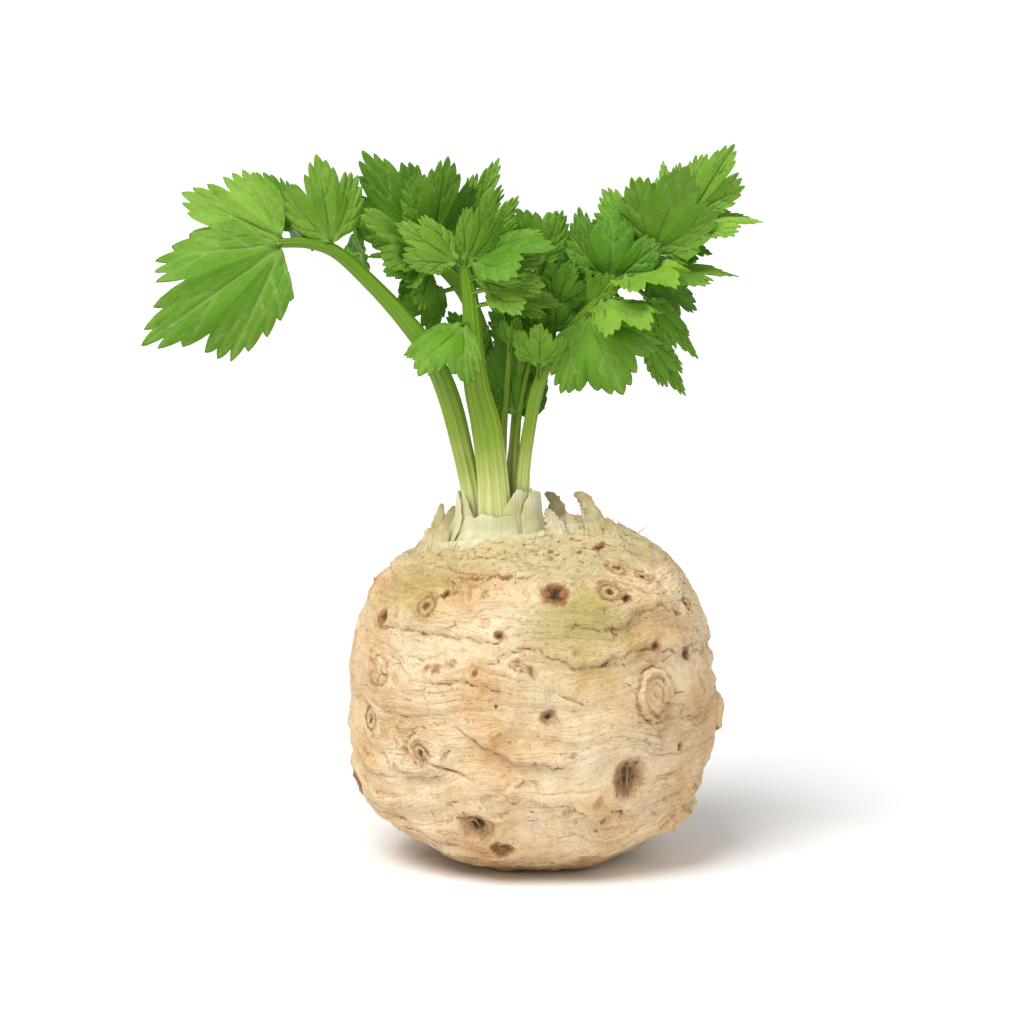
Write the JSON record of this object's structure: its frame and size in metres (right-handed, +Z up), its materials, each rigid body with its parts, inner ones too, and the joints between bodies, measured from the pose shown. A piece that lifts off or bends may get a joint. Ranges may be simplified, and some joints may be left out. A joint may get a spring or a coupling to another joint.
{
  "type": "celeriac root",
  "caption": "Rounded, knobbly celeriac root with a flat resting spot, and a crown of curved leaf stalks that carry lobed, toothed leaflets.",
  "frame": {"origin": "centre of the small flat spot that the root rests on", "axes": "+Z up through the crown, -Y towards the side with the big ringed scar, +X towards the higher shoulder of the root"},
  "size_m": [0.1901, 0.1119, 0.2251],
  "materials": {
    "root_skin": "matt, wrinkled cream and tan skin with brown scars",
    "stalk_green": "satin, ribbed, pale at the foot",
    "leaf_green": "satin, veined",
    "leaf_pale_green": "satin, veined, young",
    "sheath_white": "moist, fibrous, torn",
    "remnant_tan": "dry, fibrous"
  },
  "bodies": {
    "root": {"leaflet_back_fold": "leaf_green", "leaflet_back_left": "leaf_green", "leaflet_back_low": "leaf_pale_green", "leaflet_back_mid": "leaf_green", "leaflet_back_rear": "leaf_green", "leaflet_back_right": "leaf_green", "leaflet_back_side": "leaf_green", "leaflet_back_top": "leaf_green", "leaflet_inner_back": "leaf_green", "leaflet_inner_left": "leaf_green", "leaflet_inner_low": "leaf_green", "leaflet_inner_top": "leaf_green", "leaflet_inner_young": "leaf_green", "leaflet_left_back": "leaf_green", "leaflet_left_high": "leaf_pale_green", "leaflet_left_low": "leaf_green", "leaflet_left_mid": "leaf_green", "leaflet_left_rear": "leaf_green", "leaflet_left_round": "leaf_green", "leaflet_middle_arch": "leaf_green", "leaflet_middle_curl": "leaf_pale_green", "leaflet_middle_low": "leaf_green", "leaflet_middle_right": "leaf_green", "leaflet_middle_side": "leaf_green", "leaflet_middle_top": "leaf_green", "leaflet_outer_big": "leaf_green", "leaflet_outer_dark": "leaf_green", "leaflet_outer_hanging": "leaf_green", "leaflet_outer_high": "leaf_green", "leaflet_outer_high_right": "leaf_green", "leaflet_outer_inside": "leaf_green", "leaflet_outer_low": "leaf_green", "leaflet_outer_lower_side": "leaf_green", "leaflet_outer_pale": "leaf_pale_green", "leaflet_outer_pale_low": "leaf_pale_green", "leaflet_outer_point": "leaf_pale_green", "leaflet_outer_rear": "leaf_green", "leaflet_outer_rear_low": "leaf_green", "leaflet_outer_side": "leaf_green", "leaflet_outer_side_low": "leaf_green", "leaflet_outer_spear": "leaf_green", "leaflet_outer_tip": "leaf_pale_green", "leaflet_outer_tip_left": "leaf_green", "leaflet_outer_tip_right": "leaf_green", "remnant_back": "remnant_tan", "remnant_left": "remnant_tan", "remnant_right": "remnant_tan", "remnant_right_back": "remnant_tan", "remnant_right_front": "remnant_tan", "root": "root_skin", "sheath_back": "sheath_white", "sheath_front": "sheath_white", "sheath_left": "sheath_white", "sheath_right": "sheath_white", "stalk_back": "stalk_green", "stalk_left": "stalk_green", "stalk_middle": "stalk_green", "stalk_right_inner": "stalk_green", "stalk_right_outer": "stalk_green"}
  },
  "joints": []
}
